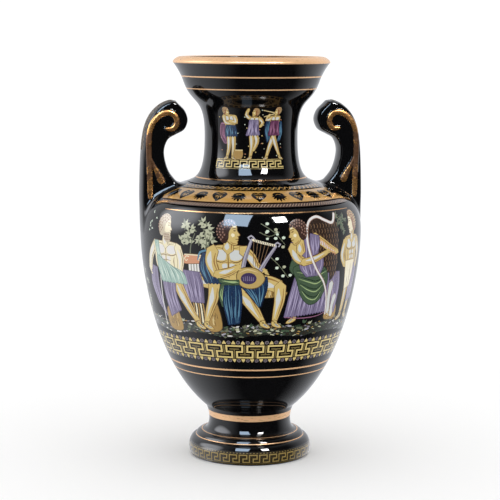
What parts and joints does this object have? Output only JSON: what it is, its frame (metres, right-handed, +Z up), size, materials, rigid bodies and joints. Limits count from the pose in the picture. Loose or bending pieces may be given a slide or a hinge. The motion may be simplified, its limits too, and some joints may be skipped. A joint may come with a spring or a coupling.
{
  "type": "porcelain amphora",
  "caption": "Hollow black-glazed porcelain amphora with flared mouth, moulded foot and two volute handles rising from the shoulder, painted with a frieze of music makers.",
  "frame": {"origin": "centre of the foot ring, on the surface that the vase stands on", "axes": "+Z up along the turning axis, +X through the middle of one handle, -Y towards the painted front"},
  "size_m": [0.168, 0.1654, 0.3],
  "materials": {
    "black_glaze": "glossy black glaze with burnished gold lines and printed coloured figures"
  },
  "bodies": {
    "root": {"amphora": "black_glaze"}
  },
  "joints": []
}
